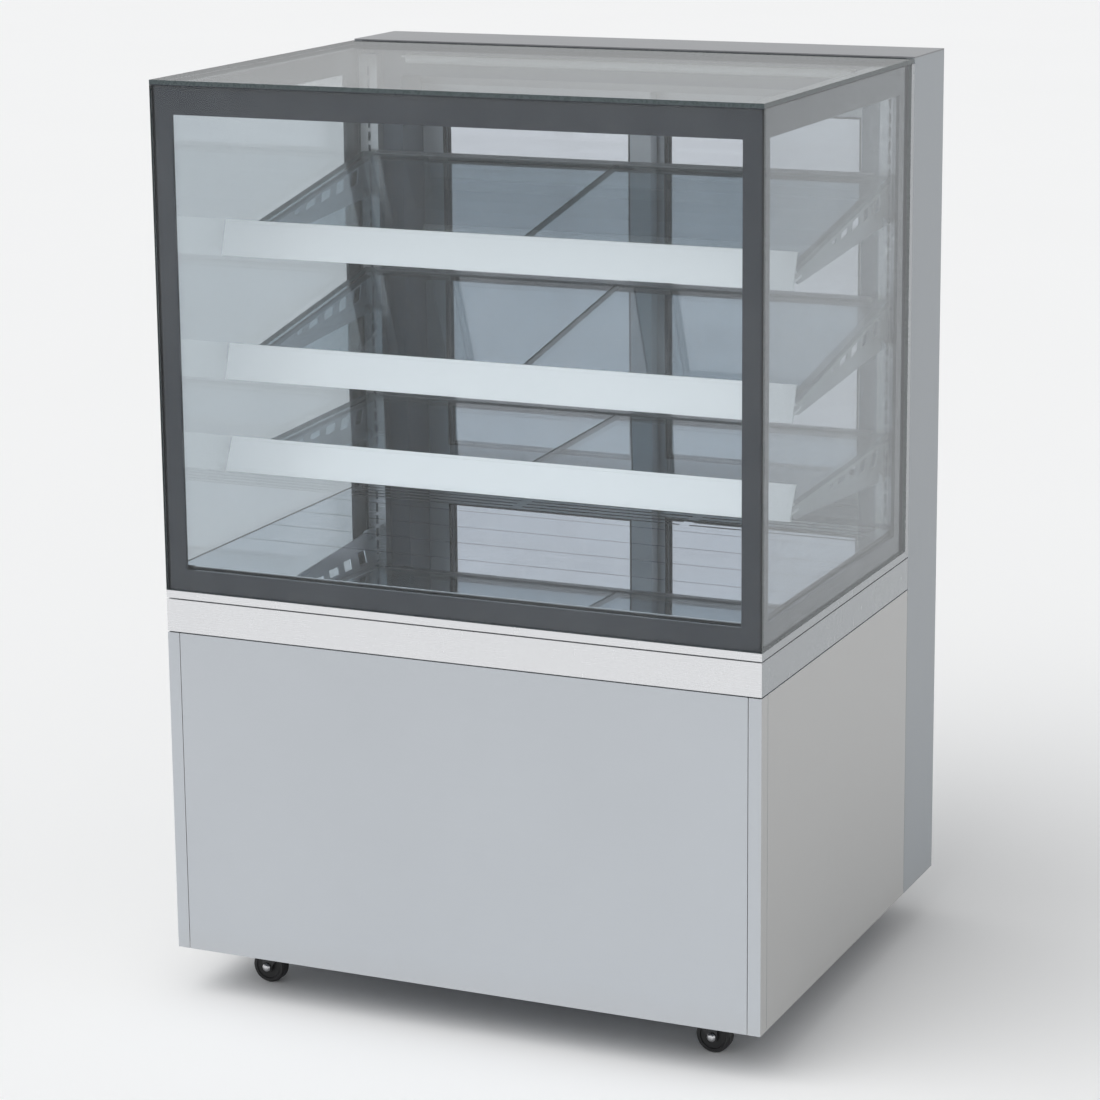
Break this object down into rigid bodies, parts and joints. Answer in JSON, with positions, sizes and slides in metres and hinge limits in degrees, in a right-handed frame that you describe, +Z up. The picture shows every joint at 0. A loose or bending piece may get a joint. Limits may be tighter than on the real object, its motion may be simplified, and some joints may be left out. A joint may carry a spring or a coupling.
{
  "type": "bakery display case",
  "caption": "Square-glass refrigerated bakery display case with tilting glass shelves, rear sliding doors, a panelled cooling base and casters.",
  "frame": {"origin": "on the floor, under the middle of the case's outer box", "axes": "+Z up, -Y towards the customer's side, +X to the right as the customer sees the case"},
  "size_m": [0.9, 0.755, 1.33],
  "materials": {
    "frame_steel": "grey powder coat",
    "panel_steel": "finely brushed stainless sheet",
    "polished_steel": "bright satin stainless",
    "tray_steel": "near-mirror stainless",
    "tub_plastic": "grey moulded liner over foam",
    "clear_glass": "clear toughened glass",
    "black_print": "anthracite ceramic print",
    "cheek_paint": "mid-grey powder coat",
    "cover_paint": "dark grey powder coat",
    "track_aluminium": "mill finish extrusion",
    "screw_steel": "bright zinc",
    "black_plastic": "fine-grained black",
    "black_paint": "semi-gloss black enamel",
    "coil_aluminium": "plain fins",
    "lamp_white": "opal",
    "switch_plastic": "moulded black",
    "button_plastic": "light grey",
    "door_aluminium": "satin anodised",
    "rail_white": "white",
    "bracket_steel": "satin",
    "caster_rubber": "black moulded wheel"
  },
  "bodies": {
    "cabinet": {"base_frame": "frame_steel", "front_panel": "panel_steel", "side_panels": "panel_steel", "front_corner_posts": "panel_steel", "belt_band": "polished_steel", "glass_trim": "polished_steel", "well_tub": "tub_plastic", "deck_trays": "tray_steel", "front_glass": "clear_glass", "left_glass": "clear_glass", "right_glass": "clear_glass", "top_glass": "clear_glass", "glass_borders": "black_print", "rear_cheeks": "cheek_paint", "top_cover": "cover_paint", "rear_frame": "frame_steel", "door_tracks": "track_aluminium", "shelf_uprights": "polished_steel", "panel_screws": "screw_steel", "rear_panel": "cheek_paint", "control_panel": "black_plastic", "cable_gland": "black_plastic", "compressor": "black_paint", "condenser_coil": "coil_aluminium", "fan_mounts": "frame_steel", "evaporator_coil": "coil_aluminium", "header_light": "lamp_white", "caster_plates": "black_paint"},
    "condenser_fan": {"condenser_fan": "black_plastic"},
    "evaporator_fan": {"evaporator_fan": "black_plastic"},
    "condensate_tray": {"condensate_tray": "black_plastic"},
    "power_switch": {"power_switch": "switch_plastic"},
    "light_switch": {"light_switch": "switch_plastic"},
    "up_button": {"up_button": "button_plastic"},
    "down_button": {"down_button": "button_plastic"},
    "left_door": {"left_door_frame": "door_aluminium", "left_door_glass": "clear_glass", "left_door_grip": "black_plastic"},
    "right_door": {"right_door_frame": "door_aluminium", "right_door_glass": "clear_glass", "right_door_grip": "black_plastic"},
    "shelf_1": {"shelf_1_glass": "clear_glass", "shelf_1_rails": "rail_white", "shelf_1_brackets": "bracket_steel"},
    "shelf_2": {"shelf_2_glass": "clear_glass", "shelf_2_rails": "rail_white", "shelf_2_brackets": "bracket_steel"},
    "shelf_3": {"shelf_3_glass": "clear_glass", "shelf_3_rails": "rail_white", "shelf_3_brackets": "bracket_steel"},
    "front_left_caster": {"front_left_fork": "black_paint"},
    "front_left_wheel": {"front_left_wheel": "caster_rubber"},
    "front_right_caster": {"front_right_fork": "black_paint"},
    "front_right_wheel": {"front_right_wheel": "caster_rubber"},
    "rear_left_caster": {"rear_left_fork": "black_paint"},
    "rear_left_wheel": {"rear_left_wheel": "caster_rubber"},
    "rear_right_caster": {"rear_right_fork": "black_paint"},
    "rear_right_wheel": {"rear_right_wheel": "caster_rubber"},
    "front_left_brake": {"front_left_brake": "black_plastic"},
    "front_right_brake": {"front_right_brake": "black_plastic"}
  },
  "joints": [
    {"name": "condenser_fan_spin", "type": "hinge", "parent": "cabinet", "child": "condenser_fan", "pos_m": [0.17, -0.0325, 0.2], "axis": [0, 1, 0], "continuous": true},
    {"name": "evaporator_fan_spin", "type": "hinge", "parent": "cabinet", "child": "evaporator_fan", "pos_m": [0, -0.0475, 0.535], "axis": [0, 1, 0], "continuous": true},
    {"name": "condensate_tray_slide", "type": "slide", "parent": "cabinet", "child": "condensate_tray", "axis": [0, 1, 0], "range_m": [0, 0.26]},
    {"name": "left_door_slide", "type": "slide", "parent": "cabinet", "child": "left_door", "axis": [1, 0, 0], "range_m": [0, 0.355]},
    {"name": "right_door_slide", "type": "slide", "parent": "cabinet", "child": "right_door", "axis": [-1, 0, 0], "range_m": [0, 0.355]},
    {"name": "shelf_1_tilt", "type": "hinge", "parent": "cabinet", "child": "shelf_1", "pos_m": [0, 0.2205, 1.143], "axis": [1, 0, 0], "range_deg": [-10.5, 0]},
    {"name": "shelf_2_tilt", "type": "hinge", "parent": "cabinet", "child": "shelf_2", "pos_m": [0, 0.2205, 0.963], "axis": [1, 0, 0], "range_deg": [-10.5, 0]},
    {"name": "shelf_3_tilt", "type": "hinge", "parent": "cabinet", "child": "shelf_3", "pos_m": [0, 0.2205, 0.763], "axis": [1, 0, 0], "range_deg": [-2, 8.5]},
    {"name": "power_switch_rock", "type": "hinge", "parent": "cabinet", "child": "power_switch", "pos_m": [0.205, 0.3739, 0.523], "axis": [1, 0, 0], "range_deg": [0, 20]},
    {"name": "light_switch_rock", "type": "hinge", "parent": "cabinet", "child": "light_switch", "pos_m": [0.228, 0.3739, 0.523], "axis": [1, 0, 0], "range_deg": [0, 20]},
    {"name": "up_button_press", "type": "slide", "parent": "cabinet", "child": "up_button", "axis": [0, -1, 0], "range_m": [0, 0.002], "stiffness_N_per_m": 250, "springref_m": -0.002},
    {"name": "down_button_press", "type": "slide", "parent": "cabinet", "child": "down_button", "axis": [0, -1, 0], "range_m": [0, 0.002], "stiffness_N_per_m": 250, "springref_m": -0.002},
    {"name": "front_left_swivel", "type": "hinge", "parent": "cabinet", "child": "front_left_caster", "pos_m": [-0.331, -0.2845, 0.066], "axis": [0, 0, 1], "continuous": true},
    {"name": "front_left_roll", "type": "hinge", "parent": "front_left_caster", "child": "front_left_wheel", "pos_m": [-0.349, -0.2845, 0.025], "axis": [0, 1, 0], "continuous": true},
    {"name": "front_right_swivel", "type": "hinge", "parent": "cabinet", "child": "front_right_caster", "pos_m": [0.331, -0.2845, 0.066], "axis": [0, 0, 1], "continuous": true},
    {"name": "front_right_roll", "type": "hinge", "parent": "front_right_caster", "child": "front_right_wheel", "pos_m": [0.349, -0.2845, 0.025], "axis": [0, 1, 0], "continuous": true},
    {"name": "rear_left_swivel", "type": "hinge", "parent": "cabinet", "child": "rear_left_caster", "pos_m": [-0.331, 0.2845, 0.066], "axis": [0, 0, 1], "continuous": true},
    {"name": "rear_left_roll", "type": "hinge", "parent": "rear_left_caster", "child": "rear_left_wheel", "pos_m": [-0.349, 0.2845, 0.025], "axis": [0, 1, 0], "continuous": true},
    {"name": "rear_right_swivel", "type": "hinge", "parent": "cabinet", "child": "rear_right_caster", "pos_m": [0.331, 0.2845, 0.066], "axis": [0, 0, 1], "continuous": true},
    {"name": "rear_right_roll", "type": "hinge", "parent": "rear_right_caster", "child": "rear_right_wheel", "pos_m": [0.349, 0.2845, 0.025], "axis": [0, 1, 0], "continuous": true},
    {"name": "front_left_brake_press", "type": "hinge", "parent": "front_left_caster", "child": "front_left_brake", "pos_m": [-0.371, -0.2845, 0.05], "axis": [0, 1, 0], "range_deg": [0, 18]},
    {"name": "front_right_brake_press", "type": "hinge", "parent": "front_right_caster", "child": "front_right_brake", "pos_m": [0.371, -0.2845, 0.05], "axis": [0, -1, 0], "range_deg": [0, 18]}
  ]
}
